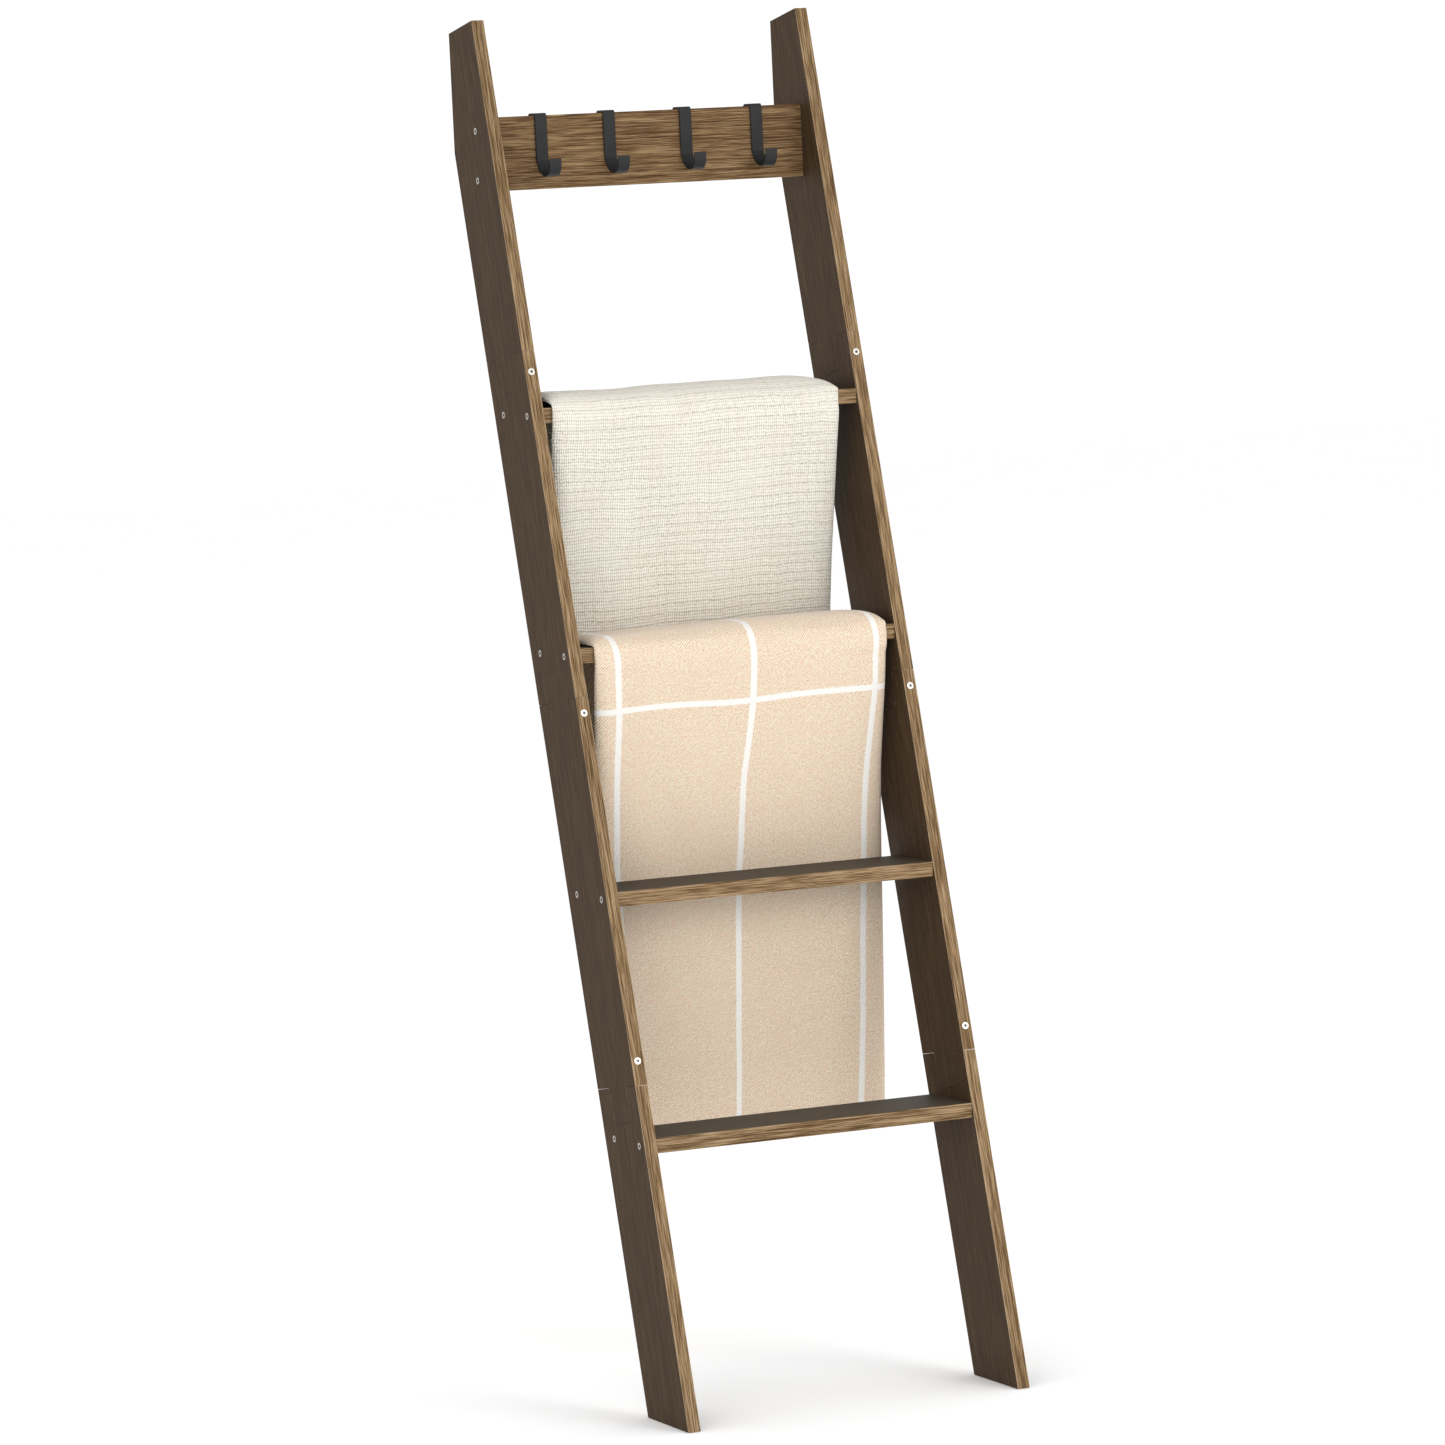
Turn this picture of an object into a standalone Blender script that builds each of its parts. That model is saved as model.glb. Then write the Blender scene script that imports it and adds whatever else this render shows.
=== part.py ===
"""Leaning blanket ladder with a hook board, four sliding hooks and two folded throws.

Metres, +Z up. The ladder leans back towards +Y, where the wall is, and its feet
stand level on Z = 0. The front of the ladder faces -Y, and the origin is at the
middle of the footprint that the leaning ladder takes up.
"""
import math

import bmesh
import bpy
from mathutils import Matrix, Vector

# ---- overall sizes -------------------------------------------------------------
INNER_W = 0.396            # clear width between the two rails
RAIL_T = 0.015             # thickness of the rail boards
RAIL_D = 0.112             # front-to-back depth of a rail, measured level
LEAN = math.radians(15.24)  # lean of the rails from vertical
TOP_FRONT_Z = 1.579        # height of the rail's front top corner
TOP_BACK_Z = 1.566         # height of the rail's rear top corner
KINK_Z = 1.428             # the rear edge is cut upright against the wall above this
GAP = 0.0003               # clearance between pieces that touch

# ---- rail joints: a tapered tongue pointing down into the section below ---------
JOINT_Z = (0.378, 0.809, 1.200)    # joint heights at the front edge
JOINT_SCREW_Z = (0.405, 0.791, 1.176)
SHOULDER_DROP = 0.142      # how fast the shoulders fall towards the rear
TONGUE_FRONT = 0.028       # front of the tongue behind the rail's front edge
TONGUE_BACK = 0.080
TONGUE_TAPER = 0.0045
TONGUE_LEN = 0.040
TONGUE_R = 0.004

# ---- rungs and hook board ---------------------------------------------------------
RUNG_T = 0.017
RUNG_D = 0.095
RUNG_TOP_Z = {"rung_bottom": 0.319, "rung_lower": 0.591, "rung_upper": 0.8625, "rung_top": 1.134}
BOARD_Z0 = 1.382
BOARD_Z1 = 1.467
BOARD_FRONT = 0.027        # board face behind the rail's front edge, at its top
BOARD_T = 0.015

# ---- screws -----------------------------------------------------------------------
HEAD_R = 0.004
HEAD_H = 0.0028
HEAD_PROUD = 0.0003
SHANK_R = 0.002
HEX_R = 0.0021
HEX_DEEP = 0.0016
SIDE_SCREW_L = 0.045
JOINT_SCREW_L = 0.048
SCREW_SEG = 18
RUNG_SCREW_IN = (0.0125, 0.0825)   # screw places behind the rung's front edge
BOARD_SCREW_Z = (1.395, 1.452)

# ---- hooks ------------------------------------------------------------------------
HOOK_X = (-0.135, -0.049, 0.048, 0.139)
HOOK_W = 0.0148
HOOK_T = 0.0024
HOOK_DROP = 0.0735         # saddle top down to the lowest point of the J
HOOK_REACH = 0.040         # board face out to the front of the upturned tip
HOOK_TIP_UP = 0.019        # tip above the lowest point
HOOK_REAR = 0.022
HOOK_BEND_R = 0.023        # centre line radius where the strap swings out into the J
HOOK_TIP_R = 0.0125        # centre line radius where the J turns up into the tip
HOOK_SADDLE_R = 0.0022
HOOK_TIP_LEAN = 0.001

# ---- folded throws -------------------------------------------------------------------
THROW_T = 0.012            # stack of folded layers
LEAF_BEND_R = 0.030
PEACH_X = (-0.181, 0.187)
PEACH_END_Z = 0.288
PEACH_REAR_Z = 0.622
CREAM_X = (-0.187, 0.175)
CREAM_END_Z = 0.700
CREAM_REAR_Z = 0.910
LEAF_CLEAR = 0.0012        # clearance where a leaf passes behind the next rung down
LEAF_DROP = 0.006          # a leaf hangs straight this far below its rung, then slants
PEACH_TRAIL = 0.022        # the peach leaf's lower end sits this far further back

TAN = math.tan(LEAN)
IN_X = INNER_W / 2
OUT_X = IN_X + RAIL_T
MID_X = IN_X + RAIL_T / 2
WALL_Y = (RAIL_D + KINK_Z * TAN) / 2    # plane of the wall
FOOT_Y = -WALL_Y                        # front corner of the feet


def front_at(z):
    """y of the rails' front edge at height z."""
    return FOOT_Y + z * TAN


def lean_pt(behind, z):
    """(y, z) of a point this far behind the rails' front edge at height z."""
    return (behind + front_at(z), z)


# ---- scene helpers ----------------------------------------------------------------
def clear_scene():
    for obj in list(bpy.data.objects):
        bpy.data.objects.remove(obj, do_unlink=True)


def new_collection(name):
    coll = bpy.data.collections.new(name)
    bpy.context.scene.collection.children.link(coll)
    return coll


def material(name, colour, rough, metal=0.0):
    mat = bpy.data.materials.new(name)
    mat.use_nodes = True
    bsdf = mat.node_tree.nodes["Principled BSDF"]
    bsdf.inputs["Base Color"].default_value = (*colour, 1.0)
    bsdf.inputs["Roughness"].default_value = rough
    bsdf.inputs["Metallic"].default_value = metal
    mat.diffuse_color = (*colour, 1.0)
    return mat


def link_mesh(bm, name, coll, mat=None):
    bmesh.ops.recalc_face_normals(bm, faces=bm.faces)
    mesh = bpy.data.meshes.new(name)
    bm.to_mesh(mesh)
    bm.free()
    obj = bpy.data.objects.new(name, mesh)
    coll.objects.link(obj)
    if mat:
        mesh.materials.append(mat)
    return obj


def extrude_outline(outline, x0, x1, name, coll, mat=None):
    """A closed (y, z) outline made into a board that runs from x0 to x1."""
    bm = bmesh.new()
    face = bm.faces.new([bm.verts.new((x0, y, z)) for y, z in outline])
    side = bmesh.ops.extrude_face_region(bm, geom=[face])
    verts = [v for v in side["geom"] if isinstance(v, bmesh.types.BMVert)]
    bmesh.ops.translate(bm, verts=verts, vec=(x1 - x0, 0, 0))
    return link_mesh(bm, name, coll, mat)


def rounded(points, radius, steps=4):
    """Replace each inner corner of an open (y, z) path with an arc of the radius given for it."""
    out = []
    count = len(points)
    for i, point in enumerate(points):
        here = Vector(point)
        if i in (0, count - 1) or radius[i] == 0:
            out.append(tuple(here))
            continue
        to_prev = (Vector(points[i - 1]) - here).normalized()
        to_next = (Vector(points[i + 1]) - here).normalized()
        half = to_prev.angle(to_next) / 2
        back = radius[i] / math.tan(half)
        centre = here + (to_prev + to_next).normalized() * radius[i] / math.sin(half)
        spoke = here + to_prev * back - centre
        sweep = math.pi - 2 * half
        if to_prev.x * to_next.y - to_prev.y * to_next.x > 0:
            sweep = -sweep
        for k in range(steps + 1):
            out.append(tuple(centre + Matrix.Rotation(sweep * k / steps, 2) @ spoke))
    return out


def cylinder(name, radius, depth, segments, coll):
    """A cylinder whose top face is at its origin and whose body runs down -Z."""
    bm = bmesh.new()
    bmesh.ops.create_cone(bm, cap_ends=True, segments=segments, radius1=radius,
                          radius2=radius, depth=depth)
    bmesh.ops.translate(bm, verts=bm.verts, vec=(0, 0, -depth / 2))
    return link_mesh(bm, name, coll)


def place(obj, head, outward):
    """Put a Z-built piece with its origin at head, +Z pointing outward, and apply it."""
    turn = Vector((0, 0, 1)).rotation_difference(Vector(outward)).to_matrix().to_4x4()
    obj.data.transform(Matrix.Translation(head) @ turn)


def cut(obj, tools):
    for tool in tools:
        mod = obj.modifiers.new("cut_" + tool.name, "BOOLEAN")
        mod.operation = "DIFFERENCE"
        mod.solver = "EXACT"
        mod.object = tool


# ---- rails -------------------------------------------------------------------------
def shoulder(behind, joint_z):
    return joint_z - SHOULDER_DROP * behind


def tongue_path(joint_z, shrink):
    """Tongue outline from its front root, round the tip, to its rear root."""
    f, b = TONGUE_FRONT + shrink, TONGUE_BACK - shrink
    tip = joint_z - TONGUE_LEN + shrink
    lift = GAP if shrink else 0.0
    corners = [(f, shoulder(f, joint_z) + lift),
               (f + TONGUE_TAPER, tip - SHOULDER_DROP * f),
               (b - TONGUE_TAPER, tip - SHOULDER_DROP * b),
               (b, shoulder(b, joint_z) + lift)]
    path = [lean_pt(*c) for c in corners]
    return rounded(path, (0, TONGUE_R, TONGUE_R, 0))


def rail_outline(index):
    """Outline of one rail section, counted from the foot, going round once."""
    bottom = JOINT_Z[index - 1] if index > 0 else None
    top = JOINT_Z[index] if index < len(JOINT_Z) else None
    pts = []
    if bottom is None:
        pts += [lean_pt(0, 0), lean_pt(RAIL_D, 0)]
    else:
        pts.append(lean_pt(0, bottom + GAP))
        pts += tongue_path(bottom, GAP)
        pts.append(lean_pt(RAIL_D, shoulder(RAIL_D, bottom) + GAP))
    if top is None:
        pts += [(WALL_Y, KINK_Z), (WALL_Y, TOP_BACK_Z), lean_pt(0, TOP_FRONT_Z)]
    else:
        pts.append(lean_pt(RAIL_D, shoulder(RAIL_D, top)))
        pts += reversed(tongue_path(top, 0.0))
        pts.append(lean_pt(0, top))
    return pts


# ---- screws ------------------------------------------------------------------------
def screw(name, head, outward, length, coll, mat):
    """Flat-headed screw with a hexagon socket; head is the centre of its seat face."""
    bm = bmesh.new()
    rings = [(HEX_R, 6, HEAD_PROUD - HEX_DEEP), (HEX_R, 6, HEAD_PROUD),
             (HEAD_R, SCREW_SEG, HEAD_PROUD), (HEAD_R, SCREW_SEG, HEAD_PROUD - HEAD_H),
             (SHANK_R, SCREW_SEG, HEAD_PROUD - HEAD_H), (SHANK_R, SCREW_SEG, -length)]
    loops = []
    for radius, count, z in rings:
        turns = [2 * math.pi * k / count for k in range(count)]
        loops.append([bm.verts.new((radius * math.cos(t), radius * math.sin(t), z)) for t in turns])
    bm.faces.new(loops[0])
    bm.faces.new(loops[-1])
    for inner, outer in zip(loops, loops[1:]):
        step = len(outer) // len(inner)
        for k, vert in enumerate(inner):
            arc = [outer[(k * step + j) % len(outer)] for j in range(step + 1)]
            bm.faces.new([inner[(k + 1) % len(inner)], vert] + arc)
    obj = link_mesh(bm, name, coll, mat)
    place(obj, head, outward)
    return obj


def screw_holes(name, head, outward, length, coll):
    """Cutters for the head recess and the shank, a gap wider than the screw."""
    seat = cylinder(name + "_seat", HEAD_R + GAP, HEAD_H + GAP, SCREW_SEG, coll)
    hole = cylinder(name + "_hole", SHANK_R + GAP, length + GAP, SCREW_SEG, coll)
    lift = Vector(outward) * HEAD_PROUD
    place(seat, Vector(head) + lift, outward)
    place(hole, Vector(head) + lift, outward)
    return [seat, hole]


# ---- hooks -------------------------------------------------------------------------
def strap(path, x_mid, name, coll, mat):
    """Flat strap of HOOK_W by HOOK_T that follows a (y, z) centre line."""
    left, right = [], []
    for i, point in enumerate(path):
        prev = Vector(path[max(i - 1, 0)])
        nxt = Vector(path[min(i + 1, len(path) - 1)])
        along = (nxt - prev).normalized()
        side = Vector((-along.y, along.x)) * HOOK_T / 2
        left.append(Vector(point) + side)
        right.append(Vector(point) - side)
    bm = bmesh.new()
    rows = []
    for a, b in zip(left, right):
        ring = [(x_mid - HOOK_W / 2, a), (x_mid + HOOK_W / 2, a),
                (x_mid + HOOK_W / 2, b), (x_mid - HOOK_W / 2, b)]
        rows.append([bm.verts.new((x, p.x, p.y)) for x, p in ring])
    for row, after in zip(rows, rows[1:]):
        for k in range(4):
            bm.faces.new((row[k], row[(k + 1) % 4], after[(k + 1) % 4], after[k]))
    bm.faces.new(rows[0])
    bm.faces.new(rows[-1])
    return link_mesh(bm, name, coll, mat)


def hook_path(front_y):
    """Centre line of a hook over the board: rear leg, saddle, front strap, J, tip."""
    half = HOOK_T / 2
    over = BOARD_Z1 + GAP + half
    rear = front_y + BOARD_T + GAP + half
    face = front_y - GAP - half
    low = BOARD_Z1 + GAP + HOOK_T - HOOK_DROP + half
    tip_y = front_y - HOOK_REACH + half
    corners = [(rear, over - HOOK_REAR), (rear, over), (face, over), (face, low),
               (tip_y, low), (tip_y - HOOK_TIP_LEAN, low + HOOK_TIP_UP)]
    radii = (0, HOOK_SADDLE_R, HOOK_SADDLE_R, HOOK_BEND_R, HOOK_TIP_R, 0)
    return rounded(corners, radii, steps=6)


# ---- throws ------------------------------------------------------------------------
def offset(corners, dist):
    """Mitred parallel of a (y, z) path, on its left-hand side as it runs."""
    out = []
    for i, point in enumerate(corners):
        here = Vector(point)
        into = here - Vector(corners[i - 1]) if i else Vector(corners[1]) - here
        away = Vector(corners[i + 1]) - here if i + 1 < len(corners) else into
        n1 = Vector((-into.y, into.x)).normalized()
        n2 = Vector((-away.y, away.x)).normalized()
        mitre = (n1 + n2).normalized()
        out.append(tuple(here + mitre * dist / mitre.dot(n1)))
    return out


def throw(rung_top, leaf, rear_z, x_span, name, coll, mat):
    """Folded stack as a slab: up the rear, over the rung, down the front leaf."""
    front = front_at(rung_top)
    back = front + RUNG_D
    inner = [(back + GAP, rear_z), (back + GAP, rung_top + GAP),
             (front - GAP, rung_top + GAP)] + leaf
    outer = offset(inner, -THROW_T)
    bends = len(leaf) - 1
    inner = rounded(inner, [0, 0, 0] + [LEAF_BEND_R] * bends + [0])
    outer = rounded(outer, [0, THROW_T, THROW_T] + [LEAF_BEND_R] * bends + [0], steps=6)
    return extrude_outline(inner + outer[::-1], *x_span, name, coll, mat)


def build():
    clear_scene()
    parts = new_collection("blanket_ladder")
    cutters = new_collection("blanket_ladder_cutters")
    wood = material("wood_laminate", (0.105, 0.072, 0.048), 0.5)
    edge = material("wood_board", (0.20, 0.13, 0.075), 0.5)
    zinc = material("zinc_screw", (0.72, 0.71, 0.69), 0.35, 1.0)
    black = material("black_steel", (0.02, 0.021, 0.023), 0.45, 0.4)
    cream = material("cream_throw_cloth", (0.80, 0.77, 0.69), 0.95)
    peach = material("peach_throw_cloth", (0.78, 0.60, 0.43), 0.95)

    board_y = BOARD_FRONT + front_at(BOARD_Z1)
    screws, holes = [], {}

    def add_screw(name, head, outward, length, nodes):
        screws.append(screw(name, head, outward, length, parts, zinc))
        tools = screw_holes(name, head, outward, length, cutters)
        for node in nodes:
            holes.setdefault(node, []).extend(tools)

    sections = ("foot", "lower", "upper", "top")
    out_of_edge = Vector((0, -math.cos(LEAN), math.sin(LEAN)))
    for side, sign in (("left", -1), ("right", 1)):
        outward = Vector((sign, 0, 0))
        for rung, top in RUNG_TOP_Z.items():
            z = top - RUNG_T / 2
            section = sum(z > j for j in JOINT_Z)
            for place_name, behind in zip(("front", "rear"), RUNG_SCREW_IN):
                head = (sign * OUT_X, front_at(top) + behind, z)
                add_screw(f"screw_{rung}_{side}_{place_name}", head, outward, SIDE_SCREW_L,
                          (f"rail_{side}_{sections[section]}", rung))
        for place_name, z in zip(("low", "high"), BOARD_SCREW_Z):
            head = (sign * OUT_X, board_y + BOARD_T / 2, z)
            add_screw(f"screw_board_{side}_{place_name}", head, outward, SIDE_SCREW_L,
                      (f"rail_{side}_top", "hook_board"))
        for i, z in enumerate(JOINT_SCREW_Z):
            y, z = lean_pt(0, z)
            below = f"rail_{side}_{sections[i]}"
            above = f"rail_{side}_{sections[i + 1]}"
            add_screw(f"screw_joint_{side}_{sections[i]}", (sign * MID_X, y, z), out_of_edge,
                      JOINT_SCREW_L, (above,) if z > JOINT_Z[i] else (below, above))

    for side, sign in (("left", -1), ("right", 1)):
        for i, section in enumerate(sections):
            name = f"rail_{side}_{section}"
            x0, x1 = sorted((sign * IN_X, sign * OUT_X))
            rail = extrude_outline(rail_outline(i), x0, x1, name, parts, wood)
            cut(rail, holes[name])

    for name, top in RUNG_TOP_Z.items():
        front = front_at(top)
        outline = [(front, top - RUNG_T), (front + RUNG_D, top - RUNG_T),
                   (front + RUNG_D, top), (front, top)]
        rung = extrude_outline(outline, -IN_X + GAP, IN_X - GAP, name, parts, edge)
        cut(rung, holes[name])
    outline = [(board_y, BOARD_Z0), (board_y + BOARD_T, BOARD_Z0),
               (board_y + BOARD_T, BOARD_Z1), (board_y, BOARD_Z1)]
    board = extrude_outline(outline, -IN_X + GAP, IN_X - GAP, "hook_board", parts, edge)
    cut(board, holes["hook_board"])

    for i, x_mid in enumerate(HOOK_X, start=1):
        strap(hook_path(board_y), x_mid, f"hook_{i}", parts, black)

    upper, lower = RUNG_TOP_Z["rung_upper"], RUNG_TOP_Z["rung_lower"]
    lower_back = front_at(lower) + RUNG_D + THROW_T + LEAF_CLEAR
    leaf = [(front_at(upper) - GAP, upper - RUNG_T - LEAF_DROP), (lower_back, lower),
            (lower_back + PEACH_TRAIL, PEACH_END_Z)]
    throw(upper, leaf, PEACH_REAR_Z, PEACH_X, "throw_peach", parts, peach)

    top = RUNG_TOP_Z["rung_top"]
    upper_back = front_at(upper) + RUNG_D + THROW_T + THROW_T + LEAF_CLEAR
    leaf = [(front_at(top) - GAP, top - RUNG_T - LEAF_DROP), (upper_back, upper + THROW_T),
            (upper_back, CREAM_END_Z)]
    throw(top, leaf, CREAM_REAR_Z, CREAM_X, "throw_cream", parts, cream)

    for tool in cutters.objects:
        tool.hide_render = True
        tool.display_type = "WIRE"


build()
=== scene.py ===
"""Looks of the leaning blanket ladder: wood, steel, screws and the two folded throws."""

import math

import bpy
import numpy as np
from mathutils import Matrix, Vector


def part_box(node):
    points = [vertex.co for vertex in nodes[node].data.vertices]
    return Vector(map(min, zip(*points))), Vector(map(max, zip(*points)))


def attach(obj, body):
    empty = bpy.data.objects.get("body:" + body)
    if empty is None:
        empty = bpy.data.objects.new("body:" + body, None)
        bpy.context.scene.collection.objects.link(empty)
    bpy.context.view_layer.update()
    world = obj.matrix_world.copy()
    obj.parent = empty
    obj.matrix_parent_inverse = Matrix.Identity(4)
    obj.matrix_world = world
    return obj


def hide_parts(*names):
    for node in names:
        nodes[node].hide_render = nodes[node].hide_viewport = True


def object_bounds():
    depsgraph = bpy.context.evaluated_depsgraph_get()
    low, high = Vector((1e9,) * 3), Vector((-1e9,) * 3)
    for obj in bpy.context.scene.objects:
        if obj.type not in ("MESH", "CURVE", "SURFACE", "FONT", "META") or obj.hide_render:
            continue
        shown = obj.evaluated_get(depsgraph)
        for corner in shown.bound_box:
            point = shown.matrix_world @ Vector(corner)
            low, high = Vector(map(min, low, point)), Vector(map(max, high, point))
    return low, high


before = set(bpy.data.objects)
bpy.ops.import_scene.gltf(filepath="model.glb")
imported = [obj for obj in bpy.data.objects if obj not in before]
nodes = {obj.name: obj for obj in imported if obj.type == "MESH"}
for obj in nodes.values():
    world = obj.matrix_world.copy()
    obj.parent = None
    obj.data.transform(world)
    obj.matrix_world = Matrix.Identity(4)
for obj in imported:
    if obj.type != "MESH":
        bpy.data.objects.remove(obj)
cad_lo, cad_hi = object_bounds()
scene = bpy.context.scene

# ---- dimensions repeated from the CAD source, in metres ----------------------------------------
LEAN = math.radians(15.24)
RAIL_D = 0.112             # depth of a rail's board
THROW_T = 0.012            # thickness of a throw's folded stack
GAP = 0.0003               # between a throw and its rung
LEAF_CLEAR = 0.0012        # between a throw's front leaf and the rung or throw that it passes
LEAF_DROP = 0.006          # how far below its rung a front leaf starts to slant
PEACH_TRAIL = 0.022        # how far the peach leaf's lower end hangs back
PEACH_REAR_Z = 0.622       # lower end of each rear leaf
CREAM_REAR_Z = 0.910


# ---- camera --------------------------------------------------------------------------------------
CAM_AZ = math.radians(-24.2206)
CAM_EL = math.radians(4.9886)
CAM_ROLL = math.radians(-2.672)
CAM_DIST = 7.4271
CAM_TARGET = Vector((-0.1314, -0.2505, 0.7875))
CAM_LENS = 167.2
CAM_SENSOR = 36.0
CAM_FAR = 100.0


def make_camera():
    data = bpy.data.cameras.new("camera")
    data.lens = CAM_LENS
    data.sensor_width = CAM_SENSOR
    data.clip_end = CAM_FAR
    cam = bpy.data.objects.new("camera", data)
    scene.collection.objects.link(cam)
    back = Vector((math.sin(CAM_AZ) * math.cos(CAM_EL),
                   -math.cos(CAM_AZ) * math.cos(CAM_EL), math.sin(CAM_EL)))
    right = (-back).cross(Vector((0, 0, 1))).normalized()
    up = right.cross(-back)
    c, s = math.cos(CAM_ROLL), math.sin(CAM_ROLL)
    right, up = right * c + up * s, up * c - right * s
    turn = Matrix((right, up, back)).transposed().to_4x4()
    cam.matrix_world = Matrix.Translation(CAM_TARGET + back * CAM_DIST) @ turn
    scene.camera = cam


# ---- node helpers --------------------------------------------------------------------------------
def srgb(r, g, b, gain=1.0):
    """Linear colour from 0-255 sRGB values, made darker or lighter by a gain."""
    out = []
    for v in (r, g, b):
        v /= 255
        out.append((v / 12.92 if v <= 0.04045 else ((v + 0.055) / 1.055) ** 2.4) * gain)
    return (*out, 1.0)


class Tree:
    """Short calls for building one material's nodes."""

    def __init__(self, name):
        self.mat = bpy.data.materials.new(name)
        self.mat.use_nodes = True
        self.nt = self.mat.node_tree
        self.bsdf = self.nt.nodes["Principled BSDF"]

    def put(self, socket, value):
        """Links or sets an input, and leaves its default where the value is None."""
        if isinstance(value, bpy.types.NodeSocket):
            self.nt.links.new(value, socket)
        elif value is not None:
            socket.default_value = value

    def node(self, kind, out=0, props=None, **inputs):
        """Adds a node and returns one output. An input goes by its name, with _ for a space, or
        by i and its number."""
        n = self.nt.nodes.new("ShaderNode" + kind)
        for key, value in (props or {}).items():
            setattr(n, key, value)
        for key, value in inputs.items():
            key = int(key[1:]) if key[0] == "i" and key[1:].isdigit() else key.replace("_", " ")
            self.put(n.inputs[key], value)
        return n.outputs[out]

    def math(self, op, a, b=None, c=None):
        return self.node("Math", props={"operation": op}, i0=a, i1=b, i2=c)

    def split(self, vector):
        """The three parts of a vector."""
        n = self.nt.nodes.new("ShaderNodeSeparateXYZ")
        self.put(n.inputs[0], vector)
        return n.outputs[:]

    def step(self, value, lo, hi):
        """0 below lo, 1 above hi, smooth between; works with lo above hi too."""
        first, last = (1.0, 0.0) if lo > hi else (0.0, 1.0)
        return self.node("MapRange", props={"interpolation_type": "SMOOTHSTEP"}, Value=value,
                         From_Min=min(lo, hi), From_Max=max(lo, hi), To_Min=first, To_Max=last)

    def mix(self, factor, a, b):
        """Blends two colours, which are inputs 6 and 7 and output 2 of the Mix node."""
        return self.node("Mix", out=2, props={"data_type": "RGBA"}, Factor=factor, i6=a, i7=b)

    def ramp(self, value, *stops):
        n = self.nt.nodes.new("ShaderNodeValToRGB")
        self.put(n.inputs[0], value)
        elements = n.color_ramp.elements
        while len(elements) < len(stops):
            elements.new(0.5)
        for item, (at, colour) in zip(elements, stops):
            item.position = at
            item.color = colour
        return n.outputs[0]

    def noise(self, vector, scale, detail=2.0, w=None, rough=0.5):
        """3D noise, or 4D where the fourth coordinate w is given."""
        fourth = {} if w is None else {"W": w}
        return self.node("TexNoise", props={"noise_dimensions": "4D" if fourth else "3D"},
                         Vector=vector, Scale=scale, Detail=detail, Roughness=rough, **fourth)

    def stray(self, pattern, size):
        """A noise pattern as a shift of up to half the size either way."""
        return self.math("MULTIPLY", self.math("SUBTRACT", pattern, 0.5), size)

    def scaled(self, vector, scale):
        return self.node("Mapping", Vector=vector, Scale=scale)

    def bump(self, height, strength, distance):
        normal = self.node("Bump", Strength=strength, Distance=distance, Height=height)
        self.put(self.bsdf.inputs["Normal"], normal)

    def finish(self, colour, rough, **constants):
        """Wires up the shader and returns the material."""
        self.put(self.bsdf.inputs["Base Color"], colour)
        self.put(self.bsdf.inputs["Roughness"], rough)
        for key, value in constants.items():
            self.bsdf.inputs[key.replace("_", " ")].default_value = value
        return self.mat


# ---- wood ----------------------------------------------------------------------------------------
# A grain pattern: its scale across the grain and along it, its noise detail and roughness.
STREAKS = (1250.0, 24.0, 3.0, 0.6)
BROAD = (360.0, 6.0, 2.0, 0.5)
PORES = (1100.0, 34.0, 1.0, 0.5)
BEND = (9.0, 3.5, 1.0, 0.5)
TONE_STOPS = (0.41, 0.50, 0.59)

# Dark, middle and light tone of each surface, then the two tones of a plain upper face; the wide faces'
# and the upper faces' tones carry painted shade.
EDGE = (srgb(92, 68, 40, 0.68), srgb(148, 119, 84, 0.68), srgb(188, 160, 124, 0.68))
# Wide faces: partly a darker face laminate, partly painted shade of faces turned away from the light.
SIDE_SHADED = (srgb(60, 44, 29, 0.72), srgb(75, 57, 39, 0.72), srgb(90, 71, 50, 0.72))
BOARD = (srgb(80, 54, 30, 0.66), srgb(129, 99, 66, 0.66), srgb(168, 139, 102, 0.66))
# Upper and lower faces: their two tones are painted shade, dark grey where the light doesn't fall.
TOP_SHADE = (srgb(84, 74, 62, 0.60), srgb(98, 88, 75, 0.60))
# Partly the edge band's paler edge, partly a painted highlight on the eased corners.
ARRIS_HIGHLIGHT_AND_BAND = srgb(205, 184, 158, 0.85)

FRONT_EDGE = cad_lo.y * math.cos(LEAN)      # the rails' edges, in the grain's upright frame
REAR_EDGE = FRONT_EDGE + RAIL_D * math.cos(LEAN)
ARRIS_W = 0.0030                            # how far from a rail's edge the painted highlight on the arris may lie


def arris_highlight_mask(t, upright, facing, bands):
    """1 on the eased corner between two faces, which takes a painted highlight; with bands, only near
    those two depths.
    """
    steepest = t.math("MAXIMUM", facing[0], t.math("MAXIMUM", facing[1], facing[2]))
    mask = t.step(steepest, 0.93, 0.80)
    if not bands:
        return mask
    depth = t.split(upright)[1]
    gaps = [t.math("ABSOLUTE", t.math("SUBTRACT", depth, band)) for band in bands]
    near = t.math("MAXIMUM", *(t.step(gap, ARRIS_W, ARRIS_W / 2) for gap in gaps))
    return t.math("MULTIPLY", mask, near)


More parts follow.
